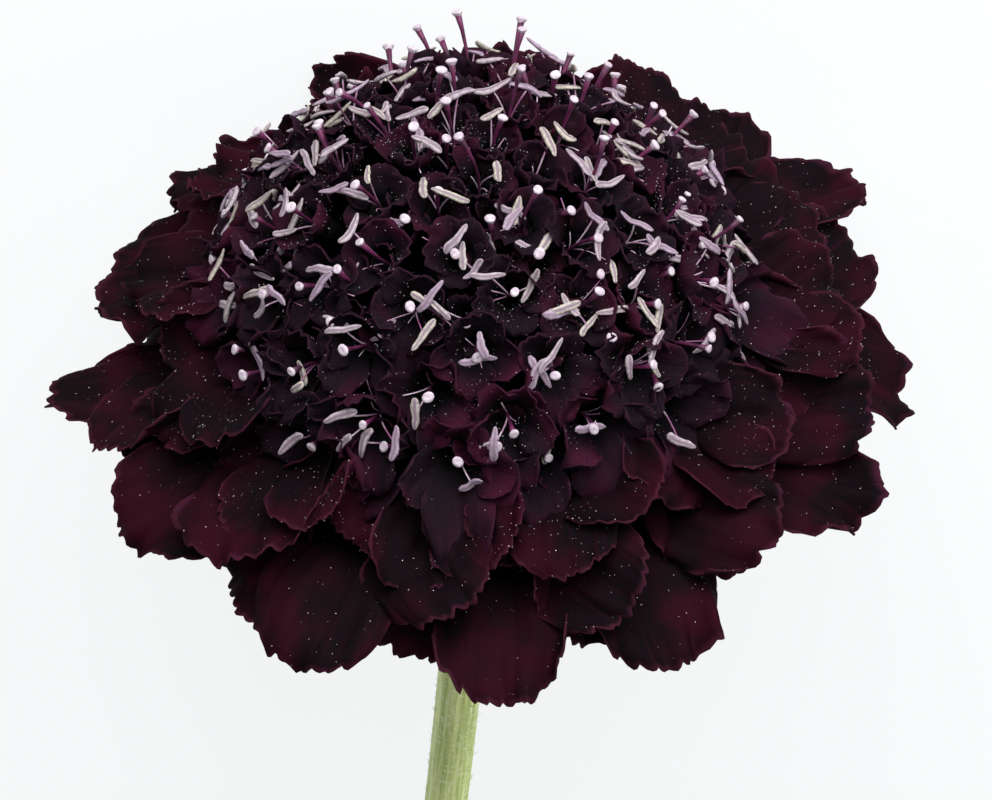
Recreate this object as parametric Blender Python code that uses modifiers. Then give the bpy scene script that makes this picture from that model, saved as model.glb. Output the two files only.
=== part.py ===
"""A cut scabiosa, laid on a table: its stem, the green involucre under the head, and the bloom.

Units are metres and +Z is up. The flower is shaped upright in a frame of its own, whose origin is the
top of the stem and whose +Z is the axis of the head. FLOWER_TO_TABLE then lays it on its back, with
the dome towards -Y and the stem running down to the table towards +Y.
"""

import math
import random

import bmesh
import bpy
from mathutils import Matrix, Vector

MM = 0.001

# Driving dimensions of the flower
STEM_DIAMETER = 3.1 * MM
STEM_REACH = 122 * MM  # along the table, from the head to the cut end
DOME_RADIUS = 15.4 * MM  # axis to the mouths of the widest disc florets
DOME_HEIGHT = 14.6 * MM  # from the widest disc florets up to the middle ones
DOME_BASE = 5.5 * MM  # height of the widest disc florets over the top of the stem
BLADE = 0.6 * MM  # thickness of a petal or a bract
JOINT_GAP = 0.3 * MM  # between two pieces that meet
WELD = 0.002 * MM  # closer points are one

# How the flower lies
HEAD_PLACE = Vector((0.82 * MM, -51.1 * MM, 20.9 * MM))  # the top of the stem, over the table
HEAD_TILT = math.radians(10)  # the dome looks up by this much
STEM_SLOPE_TOP = 0.02  # how far the stem goes sideways for each length along the table, at the head
STEM_SLOPE_END = 0.11
STEM_BEND = 30 * MM  # how soon it comes from the first slope to the second
FOLD_SOFTNESS = 1.2 * MM  # how gently a petal folds where the table stops it
FOLD_FORWARD = 0.6  # how far forward a folded point goes for each length that it is lifted

# The disc: small florets on a spiral over the dome
DISC_FLORETS = 76
DISC_EDGE = math.radians(80)  # angle from the axis to the lowest disc florets
SPIRAL_POWER = 0.62  # above 0.5 the middle florets stand closer together
GOLDEN_ANGLE = math.pi * (3 - math.sqrt(5))
BUDS = 18  # florets in the middle that haven't opened their lobes
CORE_RADIUS = 13.4 * MM
CORE_TOP = 18.0 * MM
CORE_SIDES = 14
DISC_LOBE = 1.9 * MM
DISC_FLARE = math.radians(52)
DISC_END_FLARE = math.radians(14)
EDGE_LOBE = 1.3  # how much longer the outer lobes are on the outermost disc florets
FOOT_RADIUS = 0.6 * MM
ROOT_SHARE = 0.72  # a floret's foot is this far out along the way to its mouth

# Styles and stamens: radii at four heights over the floret's mouth
STYLE_EVERY = 3
STAMEN_EVERY = 4
STALK_TURN = 2.1  # radians from the direction that one leans in to the next one's
STYLE = {
    "radii": (0.3 * MM, 0.26 * MM, 0.5 * MM, 0.3 * MM),
    "heights": (-1.0 * MM, 1.6 * MM, 1.9 * MM, 2.2 * MM),
    "lean": 0.15,
}
STAMEN = {
    "radii": (0.3 * MM, 0.26 * MM, 0.42 * MM, 0.3 * MM),
    "heights": (-1.0 * MM, 0.9 * MM, 1.2 * MM, 2.8 * MM),
    "lean": 0.7,
}

# The rays: two whorls of large florets, each with three long lobes on its outer side
OUTER_RAYS = {
    "count": 12,
    "turn": math.radians(8),
    "mouth_radius": 14.8 * MM,
    "mouth_height": 2.6 * MM,
    "root_height": 3.4 * MM,
    "facing": math.radians(52),
    "lobe": 13.2 * MM,
    "side_lobe": 11.4 * MM,
    "notch": 6.0 * MM,
    "flare": math.radians(48),
    "end_flare": math.radians(0),
    "rest_heights": (0.15 * MM, 1.05 * MM),
}
INNER_RAYS = {
    "count": 12,
    "turn": math.radians(23),
    "mouth_radius": 14.6 * MM,
    "mouth_height": 6.2 * MM,
    "root_height": 7.0 * MM,
    "facing": math.radians(48),
    "lobe": 8.8 * MM,
    "side_lobe": 7.8 * MM,
    "notch": 4.2 * MM,
    "flare": math.radians(58),
    "end_flare": math.radians(10),
    "rest_heights": (2.6 * MM, 1.8 * MM),
}
RAY_SEED = 40741
RAY_SHIFT = 0.88 * MM  # the rays on one side stand this much further out, and this less on the other
RAY_SHIFT_SIDE = math.radians(54.7)
RAY_OVAL = 0.09  # the rays over and under the head are shorter by this share than those at its sides
RAY_COLUMNS = 9
RAY_ROWS = 3  # the first is the tube
THROAT_RADIUS = 1.1 * MM
SIDE_LOBE_ANGLE = math.radians(51)
ROLL = math.radians(18)  # every ray leans over its neighbour by this much
TOOTH = 0.8 * MM
TEETH_PER_LOBE = 3

# The green parts under the head
BRACTS = 11
BRACT_LENGTH = 10.5 * MM
BRACT_WIDTH = 2.8 * MM
BRACT_COLUMNS = 2
BRACT_ROWS = 4
RECEPTACLE_RADIUS = 4.4 * MM
RECEPTACLE_TOP = 1.0 * MM
RECEPTACLE_SIDES = 16
COLLAR_RADIUS = 1.9 * MM  # where the receptacle meets the stem
STEM_RINGS = 34


def flower_to_table():
    """The turn and shift from the upright flower to the flower on the table."""
    sine, cosine = math.sin(HEAD_TILT), math.cos(HEAD_TILT)
    across = Vector((-1, 0, 0))
    back = Vector((0, -sine, -cosine))
    axis = Vector((0, -cosine, sine))
    turn = Matrix((across, back, axis)).transposed().to_4x4()
    return Matrix.Translation(HEAD_PLACE) @ turn


FLOWER_TO_TABLE = flower_to_table()


def clear_scene():
    for obj in list(bpy.data.objects):
        bpy.data.objects.remove(obj)
    for mesh in list(bpy.data.meshes):
        bpy.data.meshes.remove(mesh)


def material(name, colour, roughness):
    made = bpy.data.materials.new(name)
    made.use_nodes = True
    shader = made.node_tree.nodes["Principled BSDF"]
    shader.inputs["Base Color"].default_value = (*colour, 1)
    shader.inputs["Roughness"].default_value = roughness
    shader.inputs["Metallic"].default_value = 0
    return made


def new_collection(name):
    collection = bpy.data.collections.new(name)
    bpy.context.scene.collection.children.link(collection)
    return collection


def new_object(name, bm, collection):
    """An object that holds the bmesh, which is then freed."""
    mesh = bpy.data.meshes.new(name)
    bm.to_mesh(mesh)
    bm.free()
    obj = bpy.data.objects.new(name, mesh)
    collection.objects.link(obj)
    return obj


def islands(bm):
    """The groups of faces that hang together, without those that only touch along an edge."""
    left = set(bm.faces)
    while left:
        group, waiting = set(), [next(iter(left))]
        while waiting:
            face = waiting.pop()
            if face in left:
                left.discard(face)
                group.add(face)
                inner = [edge for edge in face.edges if len(edge.link_faces) == 2]
                waiting.extend(near for edge in inner for near in edge.link_faces)
        yield group


def keep_main_body(mesh):
    """Drop loose scraps, and fill the hollows that joining has sealed."""
    bm = bmesh.new()
    bm.from_mesh(mesh)
    bmesh.ops.remove_doubles(bm, verts=bm.verts, dist=WELD)
    bmesh.ops.triangulate(bm, faces=bm.faces)
    groups = sorted(islands(bm), key=len)
    scraps = [face for group in groups[:-1] for face in group]
    bmesh.ops.delete(bm, geom=scraps, context="FACES")
    bm.to_mesh(mesh)
    bm.free()


def fused(name, core, parts, solver):
    """The core joined with every object of the collection, which is then emptied."""
    union = core.modifiers.new("union", "BOOLEAN")
    union.operation = "UNION"
    union.operand_type = "COLLECTION"
    union.collection = parts
    union.solver = solver
    bpy.context.view_layer.update()
    graph = bpy.context.evaluated_depsgraph_get()
    mesh = bpy.data.meshes.new_from_object(core.evaluated_get(graph))
    keep_main_body(mesh)
    core.modifiers.clear()
    core.data = mesh
    core.name = mesh.name = name
    for obj in list(parts.objects):
        bpy.data.objects.remove(obj)
    bpy.data.collections.remove(parts)
    return core


def arc_offset(arc, flare, end_flare, length):
    """How far out and how far up a blade has come after this arc, bending from flare to end_flare."""
    bend = (flare - end_flare) / length
    angle = flare - bend * arc
    out = (math.sin(flare) - math.sin(angle)) / bend
    rise = (math.cos(angle) - math.cos(flare)) / bend
    return out, rise


def folded_on_table(point, height):
    """The point of the laid flower, kept at least this high: a petal that meets the table folds forward."""
    above = (point.z - height) / FOLD_SOFTNESS
    if above >= 1:
        return point
    eased = height + FOLD_SOFTNESS * max(0.0, above + 1) ** 2 / 4
    lift = eased - point.z
    return point + Vector((0, -FOLD_FORWARD * lift, lift))


class Floret:
    """Where a floret's mouth is and which way it faces, in the upright flower's frame."""

    def __init__(self, mouth, azimuth, facing, roll=0.0):
        outward = Vector((math.cos(azimuth), math.sin(azimuth), 0))
        up = Vector((0, 0, 1))
        self.mouth = mouth
        self.azimuth = azimuth
        self.axis = outward * math.cos(facing) + up * math.sin(facing)
        self.out = outward * math.sin(facing) - up * math.cos(facing)
        self.side = self.axis.cross(self.out)
        turn = Matrix.Rotation(roll, 3, self.out)
        self.axis = turn @ self.axis
        self.side = turn @ self.side

    def at(self, angle, distance, rise):
        """A point this far from the floret's axis, at an angle from its outward side."""
        across = self.out * math.cos(angle) + self.side * math.sin(angle)
        return self.mouth + across * distance + self.axis * rise


def disc_florets():
    """(floret, share) for each disc floret: share grows from 0 in the middle to 1 at the edge."""
    for index in range(DISC_FLORETS):
        share = (index + 0.5) / DISC_FLORETS
        from_axis = DISC_EDGE * share**SPIRAL_POWER
        azimuth = index * GOLDEN_ANGLE
        draw = random.Random(100 + index)
        lift = draw.uniform(-0.4, 0.4) * MM
        radius = (DOME_RADIUS + lift) * math.sin(from_axis)
        height = DOME_BASE + (DOME_HEIGHT + lift) * math.cos(from_axis)
        mouth = Vector((radius * math.cos(azimuth), radius * math.sin(azimuth), height))
        facing = math.pi / 2 - from_axis + draw.uniform(-0.1, 0.1)
        yield Floret(mouth, azimuth, facing), share


def ray_florets(whorl):
    """(floret, scale of its lobes, rest height) for each floret of the whorl."""
    for index in range(whorl["count"]):
        draw = random.Random(RAY_SEED + index + int(whorl["lobe"] / MM) * 100)
        azimuth = whorl["turn"] + math.tau * index / whorl["count"] + math.radians(draw.uniform(-3, 3))
        radius = whorl["mouth_radius"] + draw.uniform(-0.4, 0.4) * MM
        radius += RAY_SHIFT * math.cos(azimuth - RAY_SHIFT_SIDE)
        height = whorl["mouth_height"] + draw.uniform(-0.5, 0.5) * MM
        underneath = max(0.0, math.sin(azimuth)) ** 2
        facing = whorl["facing"] + math.radians(draw.uniform(-4, 4) + 16 * underneath)
        mouth = Vector((radius * math.cos(azimuth), radius * math.sin(azimuth), height))
        roll = ROLL + math.radians(draw.uniform(-3, 3))
        scale = draw.uniform(0.93, 1.06) * (1 - RAY_OVAL * math.sin(azimuth) ** 2)
        yield Floret(mouth, azimuth, facing, roll), scale, whorl["rest_heights"][index % 2]


def ray_margin(whorl, scale, angle):
    """Length of the blade in this direction: three toothed lobes with notches between them."""
    lobe = round(angle / SIDE_LOBE_ANGLE)
    across = (angle - lobe * SIDE_LOBE_ANGLE) / (SIDE_LOBE_ANGLE / 2)
    length = whorl["lobe"] if lobe == 0 else whorl["side_lobe"]
    bulge = math.sqrt(max(0.0, 1 - abs(across) ** 2.6))
    tooth = -0.5 * TOOTH * math.cos(math.pi * TEETH_PER_LOBE * (across + 1))
    return scale * (whorl["notch"] + (length - whorl["notch"]) * bulge) + tooth


def ray_point(whorl, floret, scale, angle, along):
    """A point of the ray's blade: along runs from 0, its root in the core, to 1, its margin."""
    tube = 1 / RAY_ROWS
    if along <= tube + 1e-6:
        root = Vector((0.55 * floret.mouth.x, 0.55 * floret.mouth.y, whorl["root_height"]))
        throat = floret.at(angle, THROAT_RADIUS, 0)
        width = floret.at(angle, 0.5 * THROAT_RADIUS, 0) - floret.mouth
        return (root + width).lerp(throat, along / tube)
    margin = ray_margin(whorl, scale, angle)
    arc = margin * (along - tube) / (1 - tube)
    out, rise = arc_offset(arc, whorl["flare"], whorl["end_flare"], whorl["lobe"])
    return floret.at(angle, THROAT_RADIUS + out, rise)


def ray_blade(name, whorl, floret, scale, rest_height, collection):
    """One ray: a fan of three toothed lobes on a narrow throat, rooted in the core."""
    bm = bmesh.new()
    bmesh.ops.create_grid(bm, x_segments=RAY_COLUMNS, y_segments=RAY_ROWS, size=0.5)
    rim = [edge for edge in bm.edges if min(vert.co.y for vert in edge.verts) > 0.49]
    bmesh.ops.subdivide_edges(bm, edges=rim, cuts=1)
    middles = [(face, face.calc_center_median()) for face in bm.faces]
    beside_tube = [face for face, middle in middles if middle.y < -0.2 and abs(middle.x) > 1 / 6]
    bmesh.ops.delete(bm, geom=beside_tube, context="FACES")
    for vert in bm.verts:
        angle = vert.co.x * 3 * SIDE_LOBE_ANGLE
        point = ray_point(whorl, floret, scale, angle, vert.co.y + 0.5)
        vert.co = folded_on_table(FLOWER_TO_TABLE @ point, rest_height)
    bmesh.ops.triangulate(bm, faces=bm.faces)
    blade = new_object(name, bm, collection)
    thickness = blade.modifiers.new("thickness", "SOLIDIFY")
    thickness.thickness = BLADE
    thickness.offset = 0
    return blade


def disc_root(floret):
    """Where the floret's foot is sunk in the core."""
    flat = ROOT_SHARE * floret.mouth.xy
    return Vector((flat.x, flat.y, DOME_BASE + ROOT_SHARE * (floret.mouth.z - DOME_BASE)))


def disc_cup(name, floret, share, collection):
    """One disc floret: a cup of five lobes on a narrow foot. Those at the edge have longer outer lobes."""
    bm = bmesh.new()
    bmesh.ops.create_cone(bm, cap_ends=True, segments=5, radius1=1, radius2=1, depth=2)
    if share > BUDS / DISC_FLORETS:
        rim = [edge for edge in bm.edges if min(vert.co.z for vert in edge.verts) > 0.5]
        bmesh.ops.subdivide_edges(bm, edges=rim, cuts=1)
    mouth_face = max(bm.faces, key=lambda face: face.calc_center_median().z)
    centre = bmesh.ops.poke(bm, faces=[mouth_face])["verts"][0]
    root = disc_root(floret) - floret.mouth
    for vert in bm.verts:
        angle = math.atan2(vert.co.y, vert.co.x)
        if vert is centre:
            point = floret.at(0, 0, -0.3 * MM)
        elif vert.co.z < 0:
            point = root + floret.at(angle, FOOT_RADIUS, 0)
        else:
            notch = vert.co.xy.length < 0.95
            longer = 1 + EDGE_LOBE * share**8 * max(0.0, math.cos(angle))
            length = DISC_LOBE * (0.7 + 0.3 * share) * longer * (0.5 if notch else 1)
            out, rise = arc_offset(length, DISC_FLARE, DISC_END_FLARE, DISC_LOBE * longer)
            point = floret.at(angle, FOOT_RADIUS + out, rise)
        vert.co = FLOWER_TO_TABLE @ point
    return new_object(name, bm, collection)


def stalk(name, kind, floret, towards, collection):
    """A style or a stamen: a thin turned rod with its head, standing in the floret's mouth and leaning."""
    bm = bmesh.new()
    last = len(kind["radii"]) - 1
    bmesh.ops.create_cone(bm, cap_ends=True, segments=3, radius1=1, radius2=1, depth=last)
    sides = [edge for edge in bm.edges if edge.verts[0].co.z * edge.verts[1].co.z < 0]
    bmesh.ops.subdivide_edges(bm, edges=sides, cuts=last - 1)
    for vert in bm.verts:
        level = round(vert.co.z + last / 2)
        radius, height = kind["radii"][level], kind["heights"][level]
        angle = math.atan2(vert.co.y, vert.co.x)
        ring = floret.at(angle, radius, 0) - floret.mouth
        vert.co = FLOWER_TO_TABLE @ (floret.at(towards, kind["lean"] * height, height) + ring)
    return new_object(name, bm, collection)


def dome_core():
    """The solid middle of the head, which every floret is rooted in and stands out of."""
    bm = bmesh.new()
    bmesh.ops.create_uvsphere(bm, u_segments=CORE_SIDES, v_segments=CORE_SIDES // 2, radius=1)
    bottom = RECEPTACLE_TOP + JOINT_GAP
    for vert in bm.verts:
        rise = CORE_TOP - DOME_BASE if vert.co.z > 0 else 2 * (DOME_BASE - bottom)
        height = max(bottom, DOME_BASE + vert.co.z * rise)
        vert.co = FLOWER_TO_TABLE @ Vector((vert.co.x * CORE_RADIUS, vert.co.y * CORE_RADIUS, height))
    return bm


def press_flat(bloom):
    """The undersides of the petals that carry the head become flat spots on the table."""
    for vert in bloom.data.vertices:
        vert.co.z = max(vert.co.z, 0.0)


def build_bloom(collection):
    parts = new_collection("bloom_parts")
    for whorl_name, whorl in (("outer", OUTER_RAYS), ("inner", INNER_RAYS)):
        for index, (floret, scale, rest_height) in enumerate(ray_florets(whorl)):
            ray_blade(f"{whorl_name}_{index}", whorl, floret, scale, rest_height, parts)
    for index, (floret, share) in enumerate(disc_florets()):
        disc_cup(f"disc_{index}", floret, share, parts)
        if index % STYLE_EVERY == 0:
            stalk(f"style_{index}", STYLE, floret, index * STALK_TURN, parts)
        elif index % STAMEN_EVERY == 0:
            stalk(f"stamen_{index}", STAMEN, floret, index * STALK_TURN, parts)
    bloom = fused("bloom", new_object("core", dome_core(), collection), parts, "MANIFOLD")
    press_flat(bloom)
    return bloom


def bract(name, index, collection):
    """One lance-shaped leaf of the involucre, rooted in the receptacle."""
    draw = random.Random(900 + index)
    azimuth = math.tau * (index + draw.uniform(-0.15, 0.15)) / BRACTS
    outward = Vector((math.cos(azimuth), math.sin(azimuth), 0))
    side = Vector((-math.sin(azimuth), math.cos(azimuth), 0))
    length = BRACT_LENGTH * draw.uniform(0.85, 1.1)
    bm = bmesh.new()
    bmesh.ops.create_grid(bm, x_segments=BRACT_COLUMNS, y_segments=BRACT_ROWS, size=0.5)
    for vert in bm.verts:
        along = vert.co.y + 0.5
        half = BRACT_WIDTH / 2 * math.sqrt(math.sin(math.pi * (0.2 + 0.74 * along)))
        keel = 0.35 * MM * (1 - abs(2 * vert.co.x))
        rise = -0.3 * MM - keel - 1.4 * MM * along * along
        reach = RECEPTACLE_RADIUS * 0.6 + length * along
        point = outward * reach + side * half * 2 * vert.co.x + Vector((0, 0, rise))
        vert.co = FLOWER_TO_TABLE @ point
    bmesh.ops.triangulate(bm, faces=bm.faces)
    blade = new_object(name, bm, collection)
    thickness = blade.modifiers.new("thickness", "SOLIDIFY")
    thickness.thickness = BLADE
    thickness.offset = 0


def receptacle():
    """The green knob at the top of the stem: a turned cup with a flat top under the bloom."""
    bm = bmesh.new()
    profile = (
        (0, RECEPTACLE_TOP),
        (RECEPTACLE_RADIUS * 0.85, RECEPTACLE_TOP),
        (RECEPTACLE_RADIUS, 0.3 * RECEPTACLE_TOP),
        (0.75 * RECEPTACLE_RADIUS, -1.1 * RECEPTACLE_TOP),
        (COLLAR_RADIUS, -2.2 * RECEPTACLE_TOP),
        (0, -2.2 * RECEPTACLE_TOP),
    )
    verts = [bm.verts.new((radius, 0, height)) for radius, height in profile]
    edges = [bm.edges.new(pair) for pair in zip(verts, verts[1:])]
    turn = {"cent": (0, 0, 0), "axis": (0, 0, 1), "angle": math.tau}
    bmesh.ops.spin(bm, geom=verts + edges, steps=RECEPTACLE_SIDES, use_merge=True, **turn)
    bmesh.ops.remove_doubles(bm, verts=bm.verts, dist=1e-6)
    bmesh.ops.recalc_face_normals(bm, faces=bm.faces)
    bm.transform(FLOWER_TO_TABLE)
    return bm


def build_involucre(collection):
    parts = new_collection("involucre_parts")
    for index in range(BRACTS):
        bract(f"bract_{index}", index, parts)
    return fused("involucre", new_object("receptacle", receptacle(), collection), parts, "EXACT")


def stem_centre(share):
    """A point of the stem's centre line, from the head at 0 to the cut end on the table at 1."""
    start = FLOWER_TO_TABLE @ Vector((0, 0, -2.2 * RECEPTACLE_TOP - JOINT_GAP))
    drop = start.z - 0.945 * STEM_DIAMETER / 2
    along = STEM_REACH * share
    turning = (STEM_SLOPE_END - STEM_SLOPE_TOP) * STEM_BEND * (1 - math.exp(-along / STEM_BEND))
    sideways = STEM_SLOPE_END * along - turning
    height = start.z - drop * (0.96 * share + 0.3 * share**2 - 0.26 * share**3)
    return Vector((start.x + sideways, start.y + along, height))


def build_stem(collection):
    """A round tube that thickens a little where it meets the receptacle."""
    curve = bpy.data.curves.new("stem", "CURVE")
    curve.dimensions = "3D"
    curve.bevel_depth = STEM_DIAMETER / 2
    curve.bevel_resolution = 3
    curve.use_fill_caps = True
    spline = curve.splines.new("POLY")
    spline.points.add(STEM_RINGS - 1)
    for index, point in enumerate(spline.points):
        share = index / (STEM_RINGS - 1)
        point.co = (*stem_centre(share), 1)
        point.radius = 1 + 0.22 * math.exp(-share * STEM_REACH / (3.5 * MM))
    stem = bpy.data.objects.new("stem", curve)
    collection.objects.link(stem)
    return stem


def main():
    clear_scene()
    flower = new_collection("scabiosa_flower")
    finishes = {
        "bloom": material("corolla", (0.02, 0.002, 0.006), 0.7),
        "involucre": material("bract_green", (0.16, 0.24, 0.07), 0.6),
        "stem": material("stem_green", (0.3, 0.38, 0.16), 0.55),
    }
    for obj in (build_bloom(flower), build_involucre(flower), build_stem(flower)):
        obj.data.materials.clear()
        obj.data.materials.append(finishes[obj.name])


main()
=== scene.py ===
import math
import random

import bmesh
import bpy
from mathutils import Matrix, Vector, noise


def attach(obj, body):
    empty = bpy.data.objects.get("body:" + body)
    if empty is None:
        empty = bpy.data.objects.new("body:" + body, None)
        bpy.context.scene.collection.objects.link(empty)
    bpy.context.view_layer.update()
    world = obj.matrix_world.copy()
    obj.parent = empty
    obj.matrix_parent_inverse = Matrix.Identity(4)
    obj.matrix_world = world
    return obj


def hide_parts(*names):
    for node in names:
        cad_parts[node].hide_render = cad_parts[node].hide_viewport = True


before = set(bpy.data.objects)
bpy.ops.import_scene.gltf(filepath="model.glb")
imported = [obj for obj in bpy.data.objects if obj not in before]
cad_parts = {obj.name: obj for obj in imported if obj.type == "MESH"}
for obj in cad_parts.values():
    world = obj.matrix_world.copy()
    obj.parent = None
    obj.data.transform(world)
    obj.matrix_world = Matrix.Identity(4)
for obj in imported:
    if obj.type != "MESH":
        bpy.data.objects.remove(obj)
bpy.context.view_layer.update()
mm = 0.001

# how the cut flower lies: the same values as the solids
laid = {
    "headPlace": Vector((0.82 * mm, -51.1 * mm, 20.9 * mm)),
    "headTilt": math.radians(10),
    "foldSoftness": 1.2 * mm,
    "foldForward": 0.6,
}


def flowerToTable():
    sine, cosine = math.sin(laid["headTilt"]), math.cos(laid["headTilt"])
    turn = Matrix(((-1, 0, 0), (0, -sine, -cosine), (0, -cosine, sine)))
    return Matrix.Translation(laid["headPlace"]) @ turn.transposed().to_4x4()


toTable = flowerToTable()
headAxis = (toTable.to_3x3() @ Vector((0, 0, 1))).normalized()
headFront = (toTable.to_3x3() @ Vector((0, -1, 0))).normalized()


def foldedOnTable(point, height):  # a petal that meets the table folds forward along it
    above = (point.z - height) / laid["foldSoftness"]
    if above >= 1:
        return point
    eased = height + laid["foldSoftness"] * max(0.0, above + 1) ** 2 / 4
    lift = eased - point.z
    return point + Vector((0, -laid["foldForward"] * lift, lift))


def wave(where, scale, seed):  # smooth noise from -1 to 1
    return noise.noise(Vector((where[0] * scale + seed * 7.3, where[1] * scale - seed * 3.1, seed * 1.7)))


def arcOffset(arc, flare, endFlare, length):  # how far out and up a blade has come after this arc
    bend = (flare - endFlare) / length
    angle = flare - bend * arc
    out = (math.sin(flare) - math.sin(angle)) / bend
    rise = (math.cos(angle) - math.cos(flare)) / bend
    return out, rise, angle


def makeFloret(mouth, azimuth, facing, roll=0.0):
    outward = Vector((math.cos(azimuth), math.sin(azimuth), 0))
    up = Vector((0, 0, 1))
    axis = outward * math.cos(facing) + up * math.sin(facing)
    out = outward * math.sin(facing) - up * math.cos(facing)
    side = axis.cross(out)
    turn = Matrix.Rotation(roll, 3, out)
    return {"mouth": mouth, "axis": turn @ axis, "out": out, "side": turn @ side}


def floretPoint(floret, angle, distance, rise):
    across = floret["out"] * math.cos(angle) + floret["side"] * math.sin(angle)
    return floret["mouth"] + across * distance + floret["axis"] * rise


def newPart():  # operators slow down as a bmesh grows, so small parts are made in one of their own
    part = bmesh.new()
    part.verts.layers.float_color.new("petal")
    return part


def pour(part, bm):
    mesh = bpy.data.meshes.new("part")
    part.to_mesh(mesh)
    part.free()
    bm.from_mesh(mesh)
    bpy.data.meshes.remove(mesh)


def newPiece(name, bm, finish, node, smooth=True):
    mesh = bpy.data.meshes.new(name)
    bm.to_mesh(mesh)
    bm.free()
    if smooth:
        mesh.shade_smooth()
    piece = bpy.data.objects.new(name, mesh)
    bpy.context.scene.collection.objects.link(piece)
    mesh.materials.append(finish)
    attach(piece, "root")
    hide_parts(node)
    return piece


def thicken(piece, depth):
    thickness = piece.modifiers.new("thickness", "SOLIDIFY")
    thickness.thickness = depth
    thickness.offset = 0


# how every lobe is shaped, in shares of its half width unless noted
lobeForm = {
    "skew": 0.12,  # how far a tip may lean to one side, in shares of the length
    "corners": 0.42,  # how far the corners of the tip are drawn back, in shares of the length
    "cornerPower": 2.2,
    "widening": 1.25,  # the widest place is reached at one over this share of the length
    "broadTeeth": 0.6,
    "fineTeeth": 0.55,
    "sideTeeth": 1.5,  # how much deeper the teeth are on the sides than at the tip
    "channelHalf": 0.22,
    "channelDepth": 0.35,
    "sideRuffle": 0.7,
    "softWave": 0.10,
    "creases": 0.035,
}
petalThickness = 0.1 * mm


def addLobe(bm, floret, lobe, restHeight, seed):  # a thin sheet with a toothed margin
    draw = random.Random(seed)
    made = bmesh.ops.create_grid(bm, x_segments=lobe["columns"], y_segments=lobe["rows"], size=1)["verts"]
    paint = bm.verts.layers.float_color["petal"]
    length, half, neck = lobe["length"], lobe["half"], lobe["neck"]
    middle, tilt, teeth = lobe["angle"], lobe["tilt"], lobe["toothDepth"]
    tone = draw.random()
    skew = draw.uniform(-lobeForm["skew"], lobeForm["skew"])
    phase = draw.uniform(0, 6.28)
    radial = floret["out"] * math.cos(middle) + floret["side"] * math.sin(middle)
    tangent = floret["side"] * math.cos(middle) - floret["out"] * math.sin(middle)
    for vert in made:
        u, v = vert.co.x, (vert.co.y + 1) / 2  # across from -1 to 1 and along from 0 to 1
        flankSide = math.copysign(1, u)
        corner = math.sqrt(max(0.0, 1 - 0.97 * abs(u) ** lobeForm["cornerPower"]))
        along = v * (1 - lobeForm["corners"] * (1 - corner))
        widened = math.sin(min(1.0, v * lobeForm["widening"]) * math.pi / 2) ** 1.2
        width = half * (neck + (1 - neck) * widened)
        # broad and fine teeth, which grow towards the tip and the two sides
        tooth = wave((u * 4.2 + v * 3, phase), lobe["teeth"] * 0.8, seed % 97) * lobeForm["broadTeeth"]
        scallop = abs(math.sin(math.pi * (u * lobe["scallops"] + v * 3 * flankSide + phase))) ** 0.7
        tooth += lobeForm["fineTeeth"] * (scallop - 0.6) * (0.8 + wave((u * 3, phase), 2.0, seed % 89))
        tip = v**5
        flank = abs(u) ** 6 * min(1.0, v * 1.6)
        y = length * (along + teeth * tooth * tip)
        x = width * (u + teeth * lobeForm["sideTeeth"] * tooth * flank * flankSide) + skew * length * v * v
        # a cupped blade with a channel down the middle, soft waves and a ruffle at the margin
        fold = lobe["cup"] * half * (u * u - 0.35) * min(1.0, 2.2 * v)
        channel = lobe["channel"] * half * math.exp(-(u / lobeForm["channelHalf"]) ** 2)
        fold -= channel * lobeForm["channelDepth"] * math.sin(math.pi * min(1, v * 1.1))
        ruffle = lobe["ruffle"] * max(tip, lobeForm["sideRuffle"] * flank)
        fold += half * ruffle * wave((u * 2.1, v * 2.1 + phase), 1.4, seed % 83)
        waves = lobeForm["softWave"] * wave((u * 1.3 + 5, v * 1.9 + phase), 1.0, seed % 79)
        waves += lobeForm["creases"] * wave((u * 7, v * 1.6 + phase), 1.0, seed % 73)
        fold += half * waves * min(1, 2 * v)
        curl = lobe["curl"] * tip * (1 - 0.4 * u * u)
        out, rise, angle = arcOffset(max(0.0, y), lobe["flare"], lobe["endFlare"], length)
        normal = floret["axis"] * math.cos(angle) - radial * math.sin(angle)
        sideways = tangent * math.cos(tilt) + normal * math.sin(tilt)
        lifted = normal * math.cos(tilt) - tangent * math.sin(tilt)
        point = floret["mouth"] + radial * (lobe["start"] + out) + floret["axis"] * rise
        point = point + sideways * x + lifted * (fold + curl * length)
        vert.co = foldedOnTable(toTable @ point, restHeight)
        rim = max(v * (1 if v > 0.999 else 0.985), abs(u) * min(1.0, 0.25 + v))
        vert[paint] = (v, u * 0.5 + 0.5, tone, min(1.0, rim))


def addThroat(bm, floret, root, radii, restHeight, tone):  # the tube from the head up to the mouth
    made = bmesh.ops.create_grid(bm, x_segments=18, y_segments=5, size=1)["verts"]
    paint = bm.verts.layers.float_color["petal"]
    for vert in made:
        angle = (vert.co.x + 1) * math.pi
        v = (vert.co.y + 1) / 2
        radius = radii[0] + (radii[1] - radii[0]) * v**1.5
        base = root.lerp(floret["mouth"], v)
        ring = floret["out"] * math.cos(angle) + floret["side"] * math.sin(angle)
        vert.co = foldedOnTable(toTable @ (base + ring * radius), restHeight)
        vert[paint] = (0.0, 0.5, tone, 0.0)


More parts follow.
